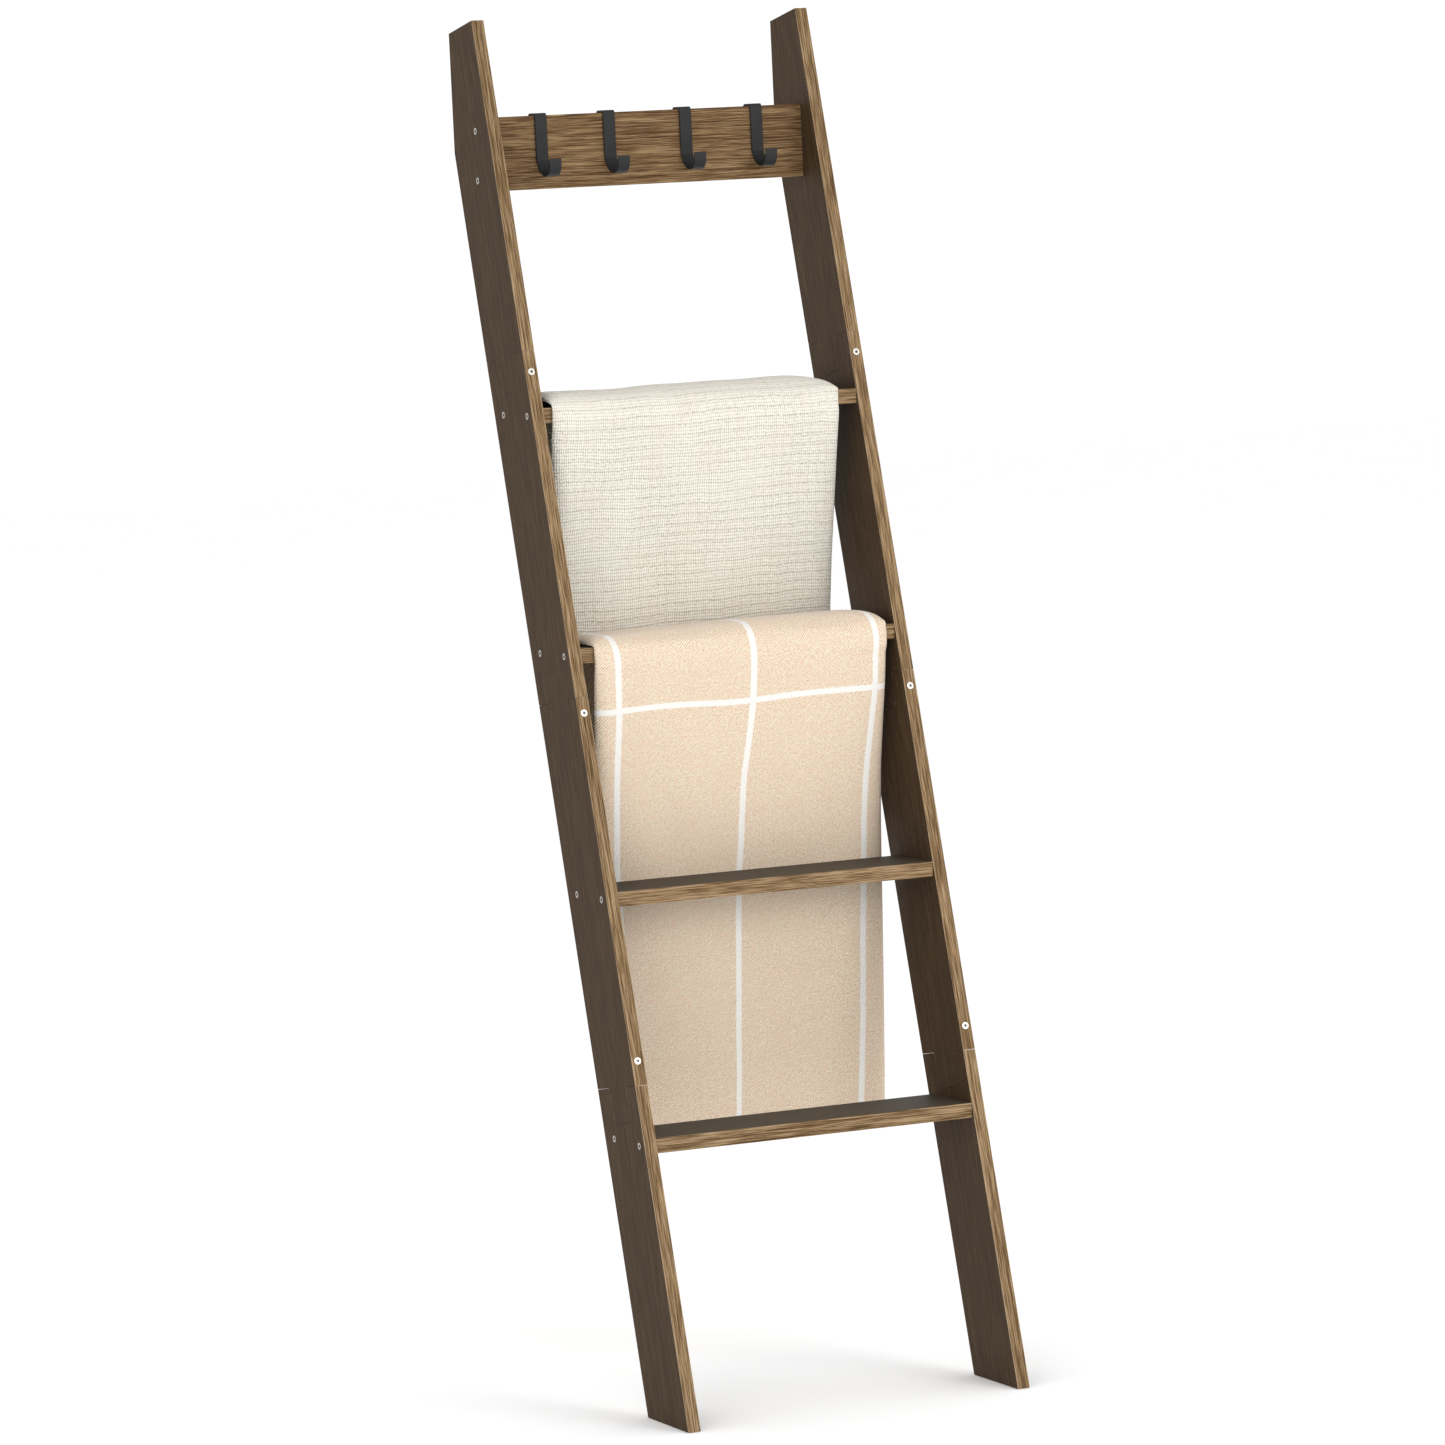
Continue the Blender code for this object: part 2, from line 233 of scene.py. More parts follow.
def wood(name, tilt, along, face, face_tones, edge_tones, top_shade, wavy=0.0, bands=()):
    """Laminated board with a printed grain. tilt turns the board upright about X, along is the
    grain's axis, face the wide face's axis, top the painted shade tones of the upper and lower
    faces or None, wavy how far the grain wanders, and bands the depths of the only corners with
    a painted highlight."""
    t = Tree(name)
    seed = t.math("MULTIPLY", t.node("ObjectInfo", out="Random"), 40.0)
    upright = t.node("Mapping", Vector=t.node("TexCoord", out="Object"), Rotation=(tilt, 0, 0))
    normal = t.node("Mapping", props={"vector_type": "NORMAL"}, Rotation=(tilt, 0, 0),
                    Vector=t.node("NewGeometry", out="True Normal"))
    facing = [t.math("ABSOLUTE", part) for part in t.split(normal)]

    def grain(vector, across, length, detail, rough):
        scale = [across] * 3
        scale[along] = length
        return t.noise(t.scaled(vector, scale), 1.0, detail, seed, rough)

    warped = upright
    if wavy:
        shift = t.stray(grain(upright, *BEND), wavy)
        cross = t.node("CombineXYZ", i0=shift, i1=shift, i2=shift)
        warped = t.node("VectorMath", props={"operation": "ADD"}, i0=upright, i1=cross)
    broad = grain(warped, *BROAD)
    mixed = t.math("ADD", t.math("MULTIPLY", grain(warped, *STREAKS), 0.80),
                   t.math("MULTIPLY", broad, 0.20))
    pores = t.step(grain(warped, *PORES), 0.57, 0.66)

    def toned(tones, pore_share):
        base = t.ramp(mixed, *zip(TONE_STOPS, tones))
        return t.mix(t.math("MULTIPLY", pores, pore_share), base, tones[0])

    # The wide faces' tones, which on the rails are partly painted shade.
    on_face = t.step(facing[face], 0.6, 0.8)
    colour = t.mix(on_face, toned(edge_tones, 0.65), toned(face_tones, 0.55))
    # Painted shade on the upper and lower faces, where it is given.
    if top_shade is not None:
        colour = t.mix(t.step(facing[2], 0.7, 0.85), colour, t.mix(broad, *top_shade))
    # Eased corners turn pale: partly the edge band's paler edge, partly a painted highlight.
    arris = arris_highlight_mask(t, upright, facing, bands)
    colour = t.mix(t.math("MULTIPLY", arris, 0.85), colour, ARRIS_HIGHLIGHT_AND_BAND)
    rough = t.math("ADD", 0.46, t.math("MULTIPLY", mixed, 0.22))
    t.bump(t.math("ADD", mixed, t.math("MULTIPLY", pores, -0.35)), 0.35, 0.0006)
    return t.finish(colour, rough, Specular_IOR_Level=0.08)


# ---- metal ---------------------------------------------------------------------------------------
COAT = ((0.0035, 0.0035, 0.0036, 1), (0.0070, 0.0070, 0.0072, 1))
# Paler tone along the coating's sharp edges.
COAT_EDGE_PALE = (0.024, 0.025, 0.026, 1)
ZINC = ((0.36, 0.34, 0.31, 1), (0.50, 0.48, 0.44, 1))
# Painted shade in the socket's recess.
ZINC_SOCKET_SHADE = (0.13, 0.12, 0.11, 1)


def black_steel():
    """Matt black coating, a little paler along the sharp edges."""
    t = Tree("black_coated_steel")
    coord = t.node("TexCoord", out="Object")
    cloud = t.noise(coord, 90.0, 3.0)
    edges = t.step(t.node("NewGeometry", out="Pointiness"), 0.53, 0.58)
    colour = t.mix(t.math("MULTIPLY", edges, 0.6), t.mix(cloud, *COAT), COAT_EDGE_PALE)
    rough = t.math("ADD", 0.42, t.math("MULTIPLY", cloud, 0.16))
    t.bump(t.noise(coord, 2600.0), 0.18, 0.0003)
    return t.finish(colour, rough, Specular_IOR_Level=0.18)


def zinc():
    """Bright zinc plating, with painted shade inside the socket."""
    t = Tree("zinc_plated_steel")
    coord = t.node("TexCoord", out="Object")
    brushed = t.noise(coord, 900.0)
    # Painted shade: darker in the socket's recess.
    socket_shade = t.step(t.node("NewGeometry", out="Pointiness"), 0.50, 0.44)
    colour = t.mix(socket_shade, t.mix(t.noise(coord, 260.0), *ZINC), ZINC_SOCKET_SHADE)
    rough = t.math("ADD", 0.24, t.math("MULTIPLY", brushed, 0.2))
    t.bump(brushed, 0.12, 0.0002)
    return t.finish(colour, rough, Metallic=1.0)


# ---- carried-over CAD nodes ----------------------------------------------------------------------
WOOD_ARRIS = 0.0006
STEEL_ARRIS = 0.0005
WELD = 0.00001


def dress(obj, mat, arris):
    """Gives a CAD node its material and eases its sharp edges."""
    for slot in obj.material_slots:
        slot.material = mat
    weld = obj.modifiers.new("weld", "WELD")
    weld.merge_threshold = WELD
    if arris:
        ease = obj.modifiers.new("eased_arris", "BEVEL")
        ease.width = arris
        ease.segments = 1
        ease.limit_method = "ANGLE"
        ease.angle_limit = math.radians(50)
        ease.use_clamp_overlap = True


def dress_all():
    """Dresses every CAD node that stays, by the first prefix that fits its name."""
    board = wood("board_laminate", 0.0, 0, 1, BOARD, EDGE, TOP_SHADE, wavy=0.004)
    rail = wood("rail_laminate", LEAN, 2, 0, SIDE_SHADED, EDGE, None, bands=(FRONT_EDGE, REAR_EDGE))
    rung = wood("rung_laminate", 0.0, 0, 2, SIDE_SHADED, EDGE, TOP_SHADE)
    looks = (("hook_board", board, WOOD_ARRIS), ("hook_", black_steel(), STEEL_ARRIS),
             ("rail_", rail, WOOD_ARRIS), ("rung_", rung, WOOD_ARRIS), ("screw_", zinc(), 0.0))
    for name in sorted(nodes):
        for prefix, mat, arris in looks:
            if name.startswith(prefix):
                dress(nodes[name], mat, arris)
                break


# ---- throws: the folded stack --------------------------------------------------------------------
PLY = THROW_T / 4          # room for one layer of cloth in the stack
LAYERS = (0.5, 1.5, 2.5, 3.5)  # height of each layer's middle in the stack, in layers
ROW_STEP = 0.004           # along the stack
BEND_STEPS = 1.6           # how many times closer the rows lie round a bend
COL_FINE = 0.003           # across the stack: outer layer, innermost layer, the two hidden ones
COL_INNER = 0.008
COL_HIDDEN = 0.012
TURN_STEPS = 10
RUNG_R = 0.0008            # bend of the stack's inner line at a rung's edge
LEAF_R = 0.03              # the same where a leaf changes its slant
OUTER_FOLD = 0.0060        # how far each fold bulges sideways
EDGE_FOLD = 0.0022
INNER_FOLD = 0.0024
HEM_INSETS = (0.006, 0.004)  # of the cloth's two edges, from the stack's left end
ROUND_ENDS = (0.018, 0.046)  # width over which the stack thins towards its left and right end
END_SHARE = 0.22           # share of its thickness that is left at the very end
PRESSED = 0.0052           # thickness of the stack where it is pressed on a rung's edge
SHOULDER_R = 0.034         # radius of the stack's outside over the rung's front and rear edge
REAR_R = 0.022
SHOULDER_DIR = np.array([-0.7071, 0.7071])
REAR_DIR = np.array([0.7071, 0.7071])
HALF_CLOTH = PLY * 0.43    # half the thickness of the cloth
HEM = 0.006                # a hem is thicker by a share, most at this distance from the edge
HEM_RISE = 0.25
RIM = 0.002                # the very edge thins over this width, from this share
RIM_SHARE = 0.35
STRIPE_Z = 0.787           # height of the peach throw's level stripe on its front leaf
STRIPE_X = (0.1655, 0.008, -0.158)  # its upright stripes on the front leaf, right to left


def straight(a, b, normal):
    """Rows of the inner line along a straight stretch."""
    count = max(1, int((b - a).length / ROW_STEP))
    return [(*a.lerp(b, k / count), *normal) for k in range(count + 1)]


def bend(start, into, turn, radius):
    """Rows of the inner line round a bend, without its two ends."""
    side = 1 if turn > 0 else -1
    centre = start + Vector((-into.y, into.x)) * side * radius
    steps = max(2, int(abs(turn) * (radius + THROW_T) / ROW_STEP * BEND_STEPS))
    rows = []
    for k in range(1, steps):
        r = Matrix.Rotation(turn * k / steps, 2)
        rows.append((*(centre + r @ (start - centre)), *(r @ Vector((into.y, -into.x)))))
    return rows


def hanging_line(rung, leaf, rear_z):
    """Inner line of the stack, from the end of the rear leaf, over the rung, to the end of the
    front leaf: rows of (y, z, normal y, normal z), closely spaced."""
    lo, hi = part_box(rung)
    corners = [(hi.y + GAP, rear_z), (hi.y + GAP, hi.z + GAP), (lo.y - GAP, hi.z + GAP)] + leaf
    corners = [Vector(corner) for corner in corners]
    radii = [RUNG_R, RUNG_R] + [LEAF_R] * (len(leaf) - 1)
    rows = []
    at = corners[0]
    for before, corner, after, radius in zip(corners, corners[1:], corners[2:], radii):
        into = (corner - before).normalized()
        away = (after - corner).normalized()
        turn = math.atan2(into.x * away.y - into.y * away.x, into.dot(away))
        back = radius * abs(math.tan(turn / 2))
        start = corner - into * back
        rows += straight(at, start, Vector((into.y, -into.x)))
        rows += bend(start, into, turn, radius)
        at = corner + away * back
    rows += straight(at, corners[-1], Vector((away.y, -away.x)))
    return np.array(rows)


def stack_section(x0, x1):
    """One cross-section of the folded stack as columns of (x, height in layers, width so far).
    The cloth starts at a hem on the left, next to the rung, wraps round the right end to the
    outside, folds back at the left, and ends in a second hem inside."""
    first, second, third, outer = LAYERS
    left, right = x0 + EDGE_FOLD, x1 - OUTER_FOLD
    cols = []

    def run(a, b, layer, step):
        count = max(2, int(abs(b - a) / step))
        cols.extend((a + (b - a) * k / count, layer) for k in range(count + 1))

    def fold(x, reach, a, b):
        for k in range(1, TURN_STEPS):
            turn = math.pi * k / TURN_STEPS
            cols.append((x + reach * math.sin(turn), (a + b) / 2 - (b - a) / 2 * math.cos(turn)))

    run(x0 + HEM_INSETS[0], right, first, COL_INNER)
    fold(right, OUTER_FOLD, first, outer)
    run(right, left, outer, COL_FINE)
    fold(left, -EDGE_FOLD, outer, third)
    run(left, right, third, COL_HIDDEN)
    fold(right, INNER_FOLD, third, second)
    run(right, x0 + HEM_INSETS[1], second, COL_HIDDEN)
    cols = np.array(cols)
    seg = np.hypot(np.diff(cols[:, 0]), np.diff(cols[:, 1]) * PLY)
    return np.column_stack([cols, np.concatenate([[0], np.cumsum(seg)])])


def roundover(x, x0, x1):
    """Share of the stack's thickness at x, falling off softly towards the two ends."""
    def ease(t):
        t = np.clip(t, 0, 1)
        return END_SHARE + (1 - END_SHARE) * np.sqrt(1 - (1 - t) ** 2)
    return ease((x - x0) / ROUND_ENDS[0]) * ease((x1 - x) / ROUND_ENDS[1])


def pressed_share(line, corner, inward, radius):
    """Share of its full thickness that the stack has along the line, where its outside is an arc
    of the given radius round a rung's edge at corner."""
    reach = (radius - PRESSED) / math.sqrt(2)
    away = line[:, :2] - (np.array(corner) + np.array(inward) * reach)
    normal = line[:, 2:] / np.linalg.norm(line[:, 2:], axis=1, keepdims=True)
    along = (away * normal).sum(1)
    root = along ** 2 - (away ** 2).sum(1) + radius ** 2
    thick = np.sqrt(np.maximum(root, 0)) - along
    near = np.linalg.norm(line[:, :2] - np.array(corner), axis=1) < reach
    full = radius - reach
    return np.where(near, np.minimum(thick, full), full) / full


class Stack:
    """A throw's folded stack over its rung, and where any point of it lies."""

    def __init__(self, rung, leaf, rear_z, x_span, ripple):
        self.rung = rung
        self.ripple = ripple
        self.x0, self.x1 = x_span
        self.cols = stack_section(*x_span)
        self.line = hanging_line(rung, leaf, rear_z)
        normals = self.line[:, 2:]
        mid = self.line[:, :2] + normals * THROW_T / 2
        self.s = np.concatenate([[0], np.cumsum(np.hypot(*np.diff(mid, axis=0).T))])
        lo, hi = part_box(rung)
        self.share = (pressed_share(self.line, (lo.y, hi.z), (1, -1), SHOULDER_R)
                      * pressed_share(self.line, (hi.y, hi.z), (-1, -1), REAR_R))
        front = int(np.argmax(normals @ SHOULDER_DIR))
        rear = int(np.argmax(normals @ REAR_DIR))
        self.held = (self.s[rear], self.s[front])
        # The front leaf's row nearest to the level stripe's height, where lengths along the cloth
        # are taken as equal right across it.
        self.datum = front + int(np.argmin(np.abs(mid[front:, 1] - STRIPE_Z)))

    def place(self, across, along, height):
        """Points at a share of the width, a distance along the stack and a height off its line."""
        x = self.x0 + (self.x1 - self.x0) * across
        lift, side, slip = self.ripple(x, along, across)
        height = height * np.interp(along, self.s, self.share) + lift
        past = np.clip(along + slip, 0, self.s[-1])
        y, z, ny, nz = (np.interp(past, self.s, self.line[:, k]) for k in range(4))
        length = np.hypot(ny, nz)
        over = (along + slip - past) / (self.s[-1] - self.s[-2])
        y = y + ny / length * height + (self.line[-1, 0] - self.line[-2, 0]) * over
        z = z + nz / length * height + (self.line[-1, 1] - self.line[-2, 1]) * over
        return np.stack([x + side, y, z], -1)

    def stripe_place(self, x):
        """Distance across the cloth of the point at x on the outer layer."""
        outer = self.cols[self.cols[:, 1] == LAYERS[-1]]
        return float(np.interp(-x, -outer[:, 0], outer[:, 2]))


# ---- cloth simulation of a stack's middle surface ------------------------------------------------
SIM_FRAMES = 36
SIM_ROW = 0.011            # row spacing of the simulated sheet
SIM_COLS = 27
SIM_CLEAR = 0.002          # distance that the simulation keeps between cloth and solids
SIM_CAP = 0.006            # furthest a point of the stack may move
GRIP = 0.004               # how far in from the rung's edges the cloth is held fast
GRAVITY = 9.81
FALL = (0, 0.072, -0.997)  # the way the throws hang, which is a little off the ladder's own upright


def quads(i):
    """Faces of a grid of point numbers."""
    return np.stack([i[:-1, :-1], i[:-1, 1:], i[1:, 1:], i[1:, :-1]], -1).reshape(-1, 4)


def blocker(lo, hi, room):
    """A box that the cloth can't enter while it is simulated, with some room round it."""
    pad = Vector((room, room, room))
    ends = list(zip(lo - pad, hi + pad))
    corners = [(x, y, z) for x in ends[0] for y in ends[1] for z in ends[2]]
    mesh = bpy.data.meshes.new("blocker")
    mesh.from_pydata(corners, [], [(0, 1, 3, 2), (4, 6, 7, 5), (0, 4, 5, 1), (2, 3, 7, 6),
                                   (0, 2, 6, 4), (1, 5, 7, 3)])
    obj = bpy.data.objects.new("blocker", mesh)
    scene.collection.objects.link(obj)
    obj.modifiers.new("collision", "COLLISION")
    obj.collision.thickness_outer = SIM_CLEAR / 2
    obj.collision.cloth_friction = 15.0
    return obj


def sim_sheet(grid, along, held):
    """The sheet to simulate, with a group that holds it between two distances along it."""
    i = np.arange(along.size * SIM_COLS).reshape(-1, SIM_COLS)
    mesh = bpy.data.meshes.new("sim_sheet")
    mesh.from_pydata(grid.reshape(-1, 3).tolist(), [], quads(i).tolist())
    sheet = bpy.data.objects.new("sim_sheet", mesh)
    scene.collection.objects.link(sheet)
    pins = sheet.vertex_groups.new(name="held")
    for row, s in zip(i, along):
        weight = float(np.clip(min(s - held[0], held[1] - s) / GRIP, 0, 1))
        if weight > 0:
            pins.add([int(k) for k in row], weight, "REPLACE")
    return sheet


def add_cloth(sheet):
    """A soft, well damped cloth that hardly stretches."""
    cloth = sheet.modifiers.new("cloth", "CLOTH")
    cloth.settings.quality = 12
    cloth.settings.mass = 0.12
    cloth.settings.tension_stiffness = 160.0
    cloth.settings.compression_stiffness = 160.0
    cloth.settings.shear_stiffness = 40.0
    cloth.settings.bending_stiffness = 1.5
    cloth.settings.air_damping = 2.0
    cloth.settings.vertex_group_mass = "held"
    cloth.collision_settings.distance_min = SIM_CLEAR / 2
    cloth.collision_settings.collision_quality = 3
    cloth.point_cache.frame_start = 1
    cloth.point_cache.frame_end = SIM_FRAMES


def settle(stack, boxes):
    """Hangs a stack's middle sheet clear of the boxes and returns how far its points moved. Only
    the part that varies across the width is kept, so that the stack stays on its line."""
    rows = int(stack.s[-1] / SIM_ROW) + 1
    across, s = np.meshgrid(np.linspace(0, 1, SIM_COLS), np.linspace(0, stack.s[-1], rows))
    start = stack.place(across, s, THROW_T / 2)
    sheet = sim_sheet(start, s[:, 0], stack.held)
    solids = [blocker(*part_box(stack.rung), 0.0)]
    solids += [blocker(*box, THROW_T / 2 - SIM_CLEAR) for box in boxes]
    scene.gravity = Vector(FALL) * GRAVITY
    add_cloth(sheet)
    for number in range(1, SIM_FRAMES + 1):
        scene.frame_set(number)
    done = sheet.evaluated_get(bpy.context.evaluated_depsgraph_get())
    co = np.zeros(start.size)
    done.data.vertices.foreach_get("co", co)
    moved = co.reshape(start.shape) - start
    moved -= moved.mean(axis=1, keepdims=True)
    size = np.linalg.norm(moved, axis=-1, keepdims=True)
    moved *= SIM_CAP * np.tanh(size / SIM_CAP) / (size + 1e-9)
    for obj in [sheet, *solids]:
        bpy.data.objects.remove(obj)
    scene.frame_set(1)
    return moved


def sample(grid, across, down):
    """Grid values at a share of its width and of its length, blended between the grid's points."""
    rows, cols = grid.shape[:2]
    u = np.clip(across, 0, 1) * (cols - 1)
    v = np.clip(down, 0, 1) * (rows - 1)
    iu, iv = np.minimum(u.astype(int), cols - 2), np.minimum(v.astype(int), rows - 2)
    fu, fv = (u - iu)[..., None], (v - iv)[..., None]
    low = grid[iv, iu] * (1 - fu) + grid[iv, iu + 1] * fu
    high = grid[iv + 1, iu] * (1 - fu) + grid[iv + 1, iu + 1] * fu
    return low * (1 - fv) + high * fv


# ---- throws: the sheet of cloth ------------------------------------------------------------------
def thick_sheet(name, co, half, uv, mat):
    """A closed mesh round the grid co of middle points, reaching half to each side of it."""
    normal = np.cross(np.gradient(co, axis=1), np.gradient(co, axis=0))
    normal /= np.linalg.norm(normal, axis=-1, keepdims=True) + 1e-12
    off = normal * half[..., None]
    verts = np.concatenate([(co + off).reshape(-1, 3), (co - off).reshape(-1, 3)])
    i = np.arange(half.size).reshape(half.shape)
    rim = np.concatenate([i[0, :-1], i[:-1, -1], i[-1, :0:-1], i[:0:-1, 0]])
    after = np.roll(rim, -1)
    rim_faces = np.stack([rim, rim + i.size, after + i.size, after], -1)
    faces = np.concatenate([quads(i), quads(i)[:, ::-1] + i.size, rim_faces])
    mesh = bpy.data.meshes.new(name)
    mesh.vertices.add(len(verts))
    mesh.vertices.foreach_set("co", verts.ravel())
    mesh.loops.add(faces.size)
    mesh.loops.foreach_set("vertex_index", faces.ravel())
    mesh.polygons.add(len(faces))
    mesh.polygons.foreach_set("loop_start", np.arange(0, faces.size, 4))
    mesh.update(calc_edges=True)
    mesh.validate()
    both = np.concatenate([uv.reshape(-1, 2)] * 2)
    layer = mesh.uv_layers.new(name="cloth")
    layer.data.foreach_set("uv", both[faces.ravel()].ravel())
    mesh.polygons.foreach_set("use_smooth", np.ones(len(faces), bool))
    mesh.materials.append(mat)
    obj = bpy.data.objects.new(name, mesh)
    scene.collection.objects.link(obj)
    return obj


def make_throw(name, stack, boxes, mat):
    """The folded sheet of cloth on its rung, simulated round the boxes."""
    x, layer, width = stack.cols.T
    thin = roundover(x, stack.x0, stack.x1)
    s = np.broadcast_to(stack.s[:, None], (len(stack.s), len(x)))
    across = np.broadcast_to((x - stack.x0) / (stack.x1 - stack.x0), s.shape)
    co = stack.place(across, s, np.broadcast_to(layer * PLY * thin, s.shape))
    co = co + sample(settle(stack, boxes), across, s / stack.s[-1])
    rim = np.minimum(np.minimum(width, width[-1] - width), np.minimum(s, stack.s[-1] - s))
    half = HALF_CLOTH * thin * (1 + HEM_RISE * np.exp(-((rim - HEM) / HEM) ** 2))
    half = half * np.clip(RIM_SHARE + rim / RIM, 0, 1) * stack.share[:, None]
    down = np.cumsum(np.linalg.norm(np.diff(co, axis=0), axis=-1), 0)
    down = np.concatenate([np.zeros((1, len(x))), down])
    down = down - down[stack.datum] + stack.s[stack.datum]
    uv = np.stack([np.broadcast_to(width, s.shape), down], -1)
    return thick_sheet(name, co, half, uv, mat)


# ---- cloth materials -----------------------------------------------------------------------------
CELL = 0.0118              # the cream weave's waffle cell
WARP = 0.0026              # pitch of its threads
WEFT = 0.0038
CREAM_STOPS = ((0.16, srgb(186, 177, 158, 0.86)), (0.44, srgb(229, 224, 210, 0.86)),
               (0.85, srgb(247, 245, 236, 0.86)))
# Painted shade in the weave's valleys.
CREAM_SHADE = srgb(184, 175, 157, 0.86)
CREAM_WARM = srgb(232, 216, 203, 0.86)

TWILL = 0.0034             # pitch of the peach twill's ribs
SAND_STOPS = ((0.34, srgb(192, 169, 137, 0.86)), (0.68, srgb(229, 213, 184, 0.84)),
              (1.0, srgb(247, 241, 225, 0.86)))
BLUSH_STOPS = ((0.34, srgb(193, 161, 136, 0.86)), (0.68, srgb(229, 201, 180, 0.84)),
               (1.0, srgb(247, 233, 215, 0.86)))
PEACH_WARM = srgb(224, 195, 169, 0.86)
WHITES = (srgb(236, 231, 222, 0.80), srgb(252, 250, 246, 0.80))
UPRIGHT_HALF = 0.0038      # half the width of an upright and of a level stripe
LEVEL_HALF = 0.0034
STRIPE_SOFT = 0.0007       # half the width of a stripe's soft edge
STRIPE_LEANS = (-0.031, -0.019, 0.062)  # slant of the right stripe, and what the next two add
LEAN_TOP = -0.15           # the slant stops this far above the level stripe
SWELL = (0.07, 0.0045)     # length and depth of the upright stripes' bow at the level stripe


def cloth_coords(t):
    """The cloth's own coordinates in metres: both together, across it, and along it."""
    uv = t.node("UVMap", props={"uv_map": "cloth"})
    u, v, _ = t.split(uv)
    return uv, u, v


def cream_cloth():
    """Chunky weave in waffle cells, with painted shade as darker specks in the valleys between them."""
    t = Tree("cream_waffle_weave")
    uv, u, v = cloth_coords(t)
    for scale, size in ((60.0, 0.0030), (11.0, 0.0110)):
        stray = t.stray(t.noise(uv, scale), size)
        u = t.math("ADD", u, stray)
        v = t.math("SUBTRACT", v, stray)

    def wave(coord, pitch):
        turn = t.math("MULTIPLY_ADD", coord, math.pi / pitch, 0.0)
        return t.math("ABSOLUTE", t.math("SINE", turn))

    knot = t.math("MULTIPLY", wave(u, WARP), wave(v, WEFT))
    row = t.step(wave(v, CELL), 0.95, 0.25)
    column = t.step(wave(u, CELL), 0.85, 0.20)
    valley = t.math("MAXIMUM", row, t.math("MULTIPLY", column, 0.55))
    speck = t.noise(uv, 720.0)
    tone = t.math("ADD", t.math("MULTIPLY", knot, 0.60), t.math("MULTIPLY", speck, 0.60))
    colour = t.ramp(tone, *CREAM_STOPS)
    loops = t.noise(t.scaled(uv, (1.35, 1.0, 1.0)), 300.0)
    dots = t.math("MULTIPLY", t.step(loops, 0.38, 0.60), t.step(knot, 1.0, 0.1))
    patchy = t.math("MULTIPLY_ADD", t.step(t.noise(uv, 13.0), 0.30, 0.58), 0.50, 0.45)
    # Painted shade: darker specks in the valleys and between the knots.
    valley_shade = t.math("MULTIPLY", t.math("MULTIPLY", valley, dots), patchy)
    colour = t.mix(valley_shade, colour, CREAM_SHADE)
    cloud = t.step(t.noise(uv, 26.0, 3.0), 0.46, 0.70)
    colour = t.mix(t.math("MULTIPLY", cloud, 0.25), colour, CREAM_WARM)
    height = t.math("ADD", t.math("MULTIPLY", knot, 0.6), t.math("MULTIPLY", valley, -0.22))
    height = t.math("ADD", height, t.math("MULTIPLY", speck, 0.60))
    t.bump(height, 0.75, 0.0016)
    return t.finish(colour, 0.92, Specular_IOR_Level=0.15, Sheen_Weight=0.25, Sheen_Roughness=0.5)


def stripe_mask(t, uv, u, v, stripes_u, stripe_v):
    """1 on the upright stripes and on the level one. The first three upright ones are on the
    front leaf: each has its own slant, and all bow a little where they cross the level one."""
    soft = t.stray(t.noise(uv, 300.0), 0.0022)
    wander = t.stray(t.noise(uv, 9.0, 1.0), 0.004)
    down = t.math("SUBTRACT", v, stripe_v)
    bow = t.math("POWER", t.math("DIVIDE", down, SWELL[0]), 2.0)
    swell = t.math("MULTIPLY", t.math("EXPONENT", t.math("MULTIPLY", bow, -1.0)), SWELL[1])
    lean = t.step(u, stripes_u[0], stripes_u[1])
    lean = t.math("MULTIPLY_ADD", lean, STRIPE_LEANS[1], STRIPE_LEANS[0])
    second = t.step(u, stripes_u[1], stripes_u[2])
    lean = t.math("MULTIPLY_ADD", second, STRIPE_LEANS[2], lean)
    skew = t.math("MULTIPLY_ADD", t.math("MAXIMUM", down, LEAN_TOP), lean, swell)
    upright = t.math("ADD", u, t.math("ADD", skew, wander))
    level = t.math("ADD", v, wander)

    def stripe(coord, at, half):
        gap = t.math("ADD", t.math("ABSOLUTE", t.math("SUBTRACT", coord, at)), soft)
        return t.step(gap, half + STRIPE_SOFT, half - STRIPE_SOFT)

    mask = stripe(upright, stripes_u[0], UPRIGHT_HALF)
    for at in stripes_u[1:]:
        mask = t.math("MAXIMUM", mask, stripe(upright, at, UPRIGHT_HALF))
    return t.math("MAXIMUM", mask, stripe(level, stripe_v, LEVEL_HALF))


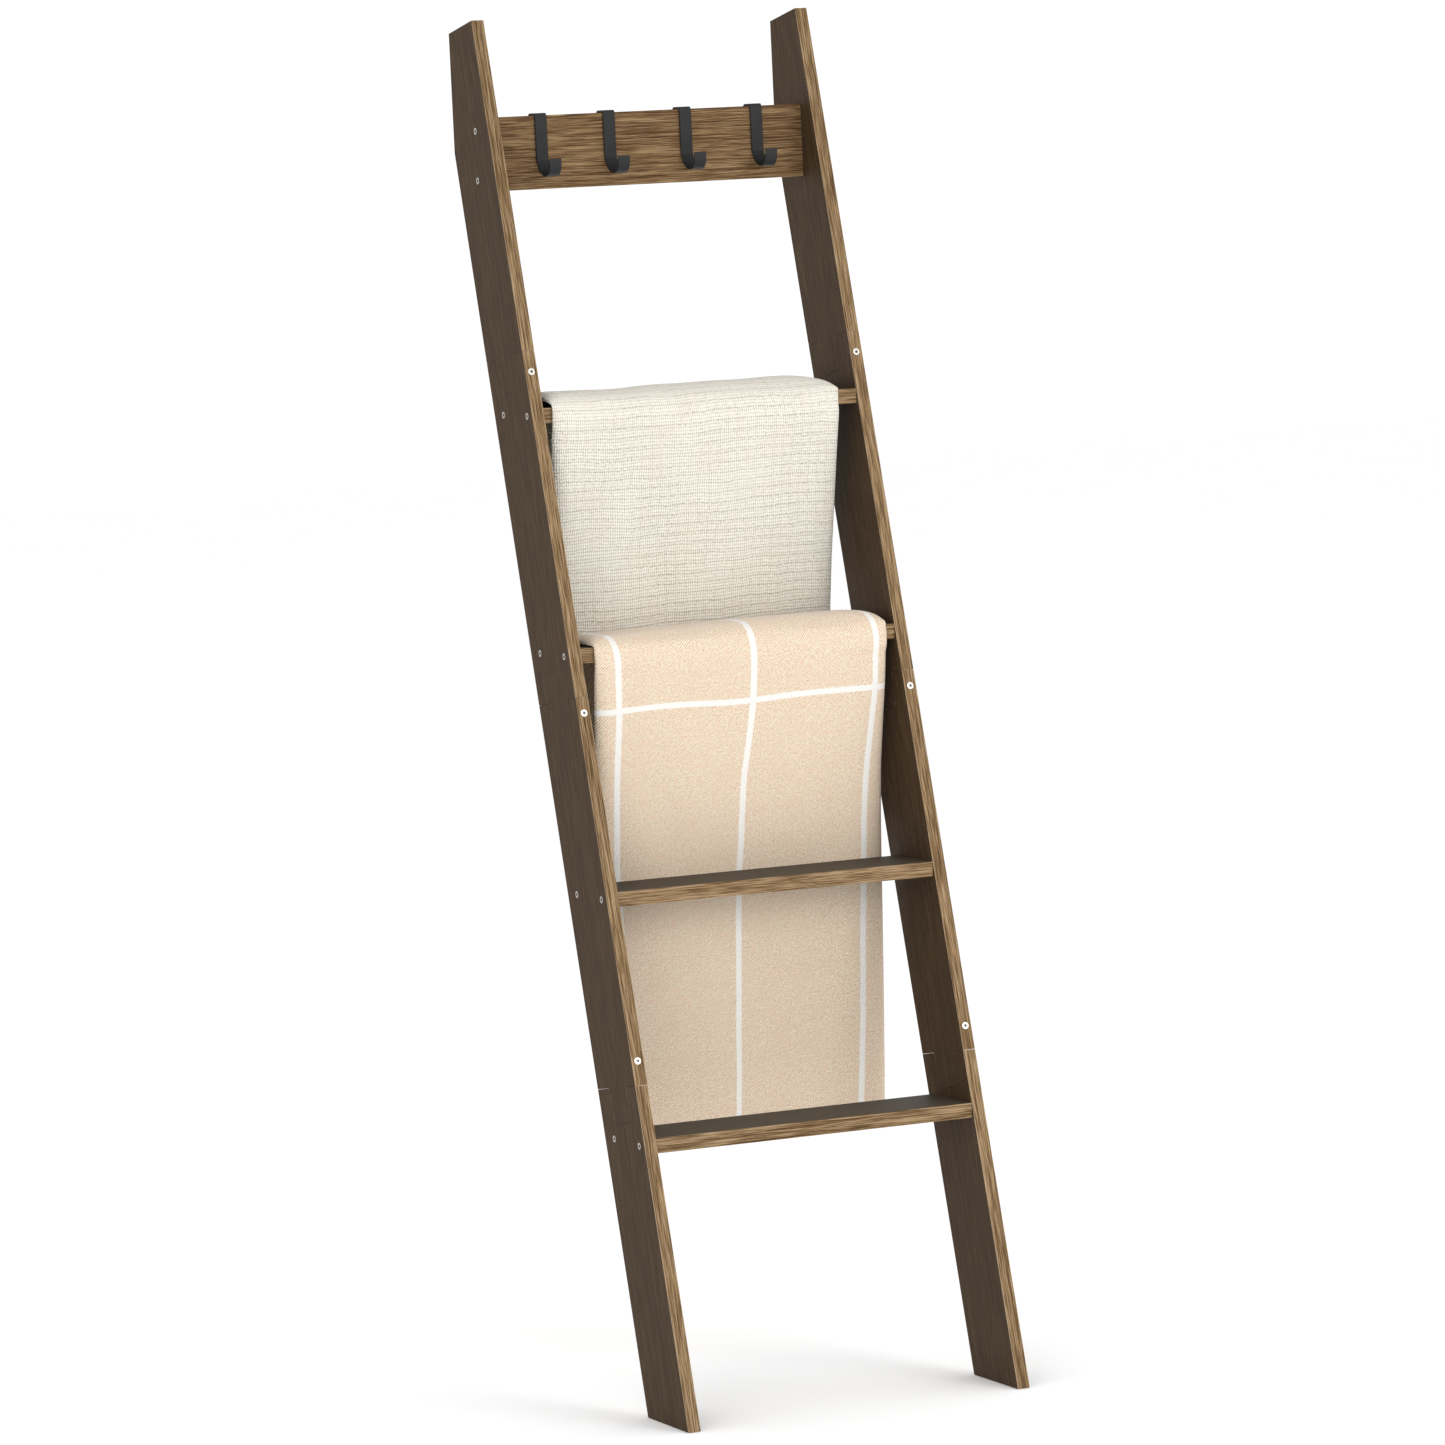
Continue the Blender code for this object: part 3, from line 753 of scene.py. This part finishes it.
def peach_cloth(stripes_u, stripe_v):
    """Brushed twill with woven white stripes."""
    t = Tree("peach_twill")
    uv, u, v = cloth_coords(t)
    across = t.math("ADD", t.math("SUBTRACT", u, v), t.stray(t.noise(uv, 45.0), 0.004))
    rib = t.math("SINE", t.math("MULTIPLY", across, 2 * math.pi / TWILL))
    rib = t.math("MULTIPLY_ADD", rib, 0.5, 0.5)
    fibre = t.noise(t.node("Mapping", Vector=uv, Rotation=(0, 0, math.radians(45))), 1400.0)
    fleck = t.noise(uv, 420.0, 3.0)
    tone = t.math("ADD", t.math("MULTIPLY", rib, 0.36), t.math("MULTIPLY", fleck, 1.0))
    tint = t.step(t.noise(uv, 210.0, 2.0, rough=0.6), 0.36, 0.64)
    colour = t.mix(tint, t.ramp(tone, *SAND_STOPS), t.ramp(tone, *BLUSH_STOPS))
    cloud = t.step(t.noise(uv, 30.0, 3.0), 0.42, 0.72)
    colour = t.mix(t.math("MULTIPLY", cloud, 0.22), colour, PEACH_WARM)
    white = stripe_mask(t, uv, u, v, stripes_u, stripe_v)
    colour = t.mix(white, colour, t.mix(tone, *WHITES))
    height = t.math("ADD", t.math("MULTIPLY", rib, 0.6), t.math("MULTIPLY", fibre, 0.4))
    t.bump(height, 0.55, 0.0011)
    return t.finish(colour, 0.9, Specular_IOR_Level=0.15, Sheen_Weight=0.3, Sheen_Roughness=0.45)


# ---- ripples, in metres --------------------------------------------------------------------------
# Waves in each throw: height, turns across it and along it in radians a metre, and phase.
PEACH_WAVES = ((0.0012, 21.0, 5.0, 0.4), (0.0007, 47.0, -8.0, 1.9), (0.0004, 83.0, 11.0, 0.8))
CREAM_WAVES = ((0.0013, 19.0, -4.0, 1.4), (0.0007, 41.0, 9.0, 0.2), (0.0004, 77.0, -13.0, 2.3))


def waves(x, s, terms):
    """Sum of the waves at x across a throw and s along it."""
    total = 0.0
    for amp, kx, ks, phase in terms:
        total = total + amp * np.sin(kx * x + ks * s + phase)
    return total


def rise(value, start, length):
    """0 up to start, then up to 1 over the length."""
    return np.clip((value - start) / length, 0, 1)


def hump(value, middle, width):
    """1 at the middle, falling off smoothly to both sides."""
    return np.exp(-((value - middle) / width) ** 2)


def peach_ripple(x, s, across):
    """Lift off the stack's line, sideways shift and slip along the line. The throw rises in a
    crown over its rung on the right, and narrows from the left towards its lower end."""
    free = rise(s, 0.42, 0.10)
    crown = 0.0060 * rise(across, 0.35, 0.4) * hump(s, 0.305, 0.045)
    narrowing = 0.018 * rise(s, 0.60, 0.37) ** 1.5 * (1 - across)
    side = 0.0012 * np.sin(9.0 * s + 0.7) + narrowing - 0.004 * free * across
    askew = 0.0015 - 0.0046 * across - 0.003 * np.sin(2 * math.pi * np.clip(across, 0, 1)) ** 2
    return waves(x, s, PEACH_WAVES) * (0.4 + 0.6 * free) + crown, side, askew * rise(s, 0.30, 0.1)


def cream_ripple(x, s, across):
    """The same for the cream throw, whose crown runs all along its rung."""
    crown = 0.0050 * hump(s, 0.285, 0.045)
    side = 0.0012 * np.sin(8.0 * s + 2.1) + 0.006 * rise(s, 0.55, 0.25) * (1 - across)
    side = side - 0.0035 * rise(s, 0.34, 0.20) * across ** 3
    slip = 0.003 * np.sin(across * 5.1 + 0.6) * rise(s, 0.30, 0.1)
    return waves(x, s, CREAM_WAVES) * 0.8 + crown, side, slip


# ---- placing the two throws ----------------------------------------------------------------------
def other_rungs(own):
    """Boxes of the rungs that a throw passes, besides its own."""
    names = ("rung_bottom", "rung_lower", "rung_upper", "rung_top")
    return [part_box(name) for name in names if name != own]


def all_stripes(seen, wide):
    """Places across the cloth of the three stripes that show, then of those on hidden layers."""
    pitch = (seen[2] - seen[0]) / 2
    hidden = [seen[0] + k * pitch for k in range(-3, 8) if k not in (0, 1, 2)]
    return seen + [u for u in hidden if 0 < u < wide]


def make_peach():
    lo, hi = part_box("throw_peach")
    own_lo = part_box("rung_upper")[0]
    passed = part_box("rung_lower")[1]
    passing_y = passed.y + THROW_T + LEAF_CLEAR
    leaf = [(own_lo.y - GAP, own_lo.z - LEAF_DROP), (passing_y, passed.z),
            (passing_y + PEACH_TRAIL, lo.z)]
    stack = Stack("rung_upper", leaf, PEACH_REAR_Z, (lo.x, hi.x), peach_ripple)
    stripes = all_stripes([stack.stripe_place(x) for x in STRIPE_X], stack.cols[-1, 2])
    mat = peach_cloth(stripes, float(stack.s[stack.datum]))
    peach = make_throw("peach_throw_cloth", stack, other_rungs("rung_upper"), mat)
    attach(peach, "peach_throw")
    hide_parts("throw_peach")


def make_cream():
    lo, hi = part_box("throw_cream")
    own_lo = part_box("rung_top")[0]
    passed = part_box("rung_upper")[1]
    passing_y = passed.y + 2 * THROW_T + LEAF_CLEAR
    leaf = [(own_lo.y - GAP, own_lo.z - LEAF_DROP), (passing_y, passed.z + THROW_T), (passing_y, lo.z)]
    stack = Stack("rung_top", leaf, CREAM_REAR_Z, (lo.x, hi.x), cream_ripple)
    peach_lo, peach_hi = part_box("throw_peach")
    peach_rear = (Vector((peach_lo.x, passed.y, PEACH_REAR_Z)),
                  Vector((peach_hi.x, passed.y + THROW_T, passed.z)))
    boxes = other_rungs("rung_top") + [peach_rear]
    cream = make_throw("cream_throw_cloth", stack, boxes, cream_cloth())
    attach(cream, "cream_throw")
    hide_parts("throw_cream")


# ---- floor and light -----------------------------------------------------------------------------
FLOOR_HALF = 20.0
FLOOR_Z = -0.0005          # just under the feet
FLOOR_TONES = ((0.945, 0.945, 0.945, 1), (0.955, 0.955, 0.955, 1))
AIM = Vector((0, 0, 0.8))
WORLD_STRENGTH = 1.05
# Name, place, diameter in metres and power in watts.
LIGHTS = (("key", (1.9, -4.6, 2.3), 2.4, 80.0), ("fill", (-3.6, -4.8, 1.3), 3.4, 80.0))


def make_floor():
    mesh = bpy.data.meshes.new("floor")
    corners = [(x * FLOOR_HALF, y * FLOOR_HALF, FLOOR_Z) for x, y in ((-1, -1), (1, -1), (1, 1), (-1, 1))]
    mesh.from_pydata(corners, [], [(0, 1, 2, 3)])
    floor = bpy.data.objects.new("floor", mesh)
    scene.collection.objects.link(floor)
    t = Tree("pale_floor")
    cloud = t.noise(t.node("TexCoord", out="Object"), 3.0)
    mesh.materials.append(t.finish(t.mix(cloud, *FLOOR_TONES), 0.9, Specular_IOR_Level=0.0))


def area_light(name, place, size, power):
    data = bpy.data.lights.new(name, "AREA")
    data.shape = "DISK"
    data.size = size
    data.energy = power
    light = bpy.data.objects.new(name, data)
    light.location = place
    light.rotation_mode = "QUATERNION"
    light.rotation_quaternion = (AIM - Vector(place)).to_track_quat("-Z", "Y")
    scene.collection.objects.link(light)


def make_light():
    world = bpy.data.worlds.new("studio")
    world.use_nodes = True
    background = world.node_tree.nodes["Background"]
    background.inputs["Color"].default_value = (1, 1, 1, 1)
    background.inputs["Strength"].default_value = WORLD_STRENGTH
    scene.world = world
    for light in LIGHTS:
        area_light(*light)
    scene.view_settings.view_transform = "Standard"


make_camera()
dress_all()
make_peach()
make_cream()
make_floor()
make_light()
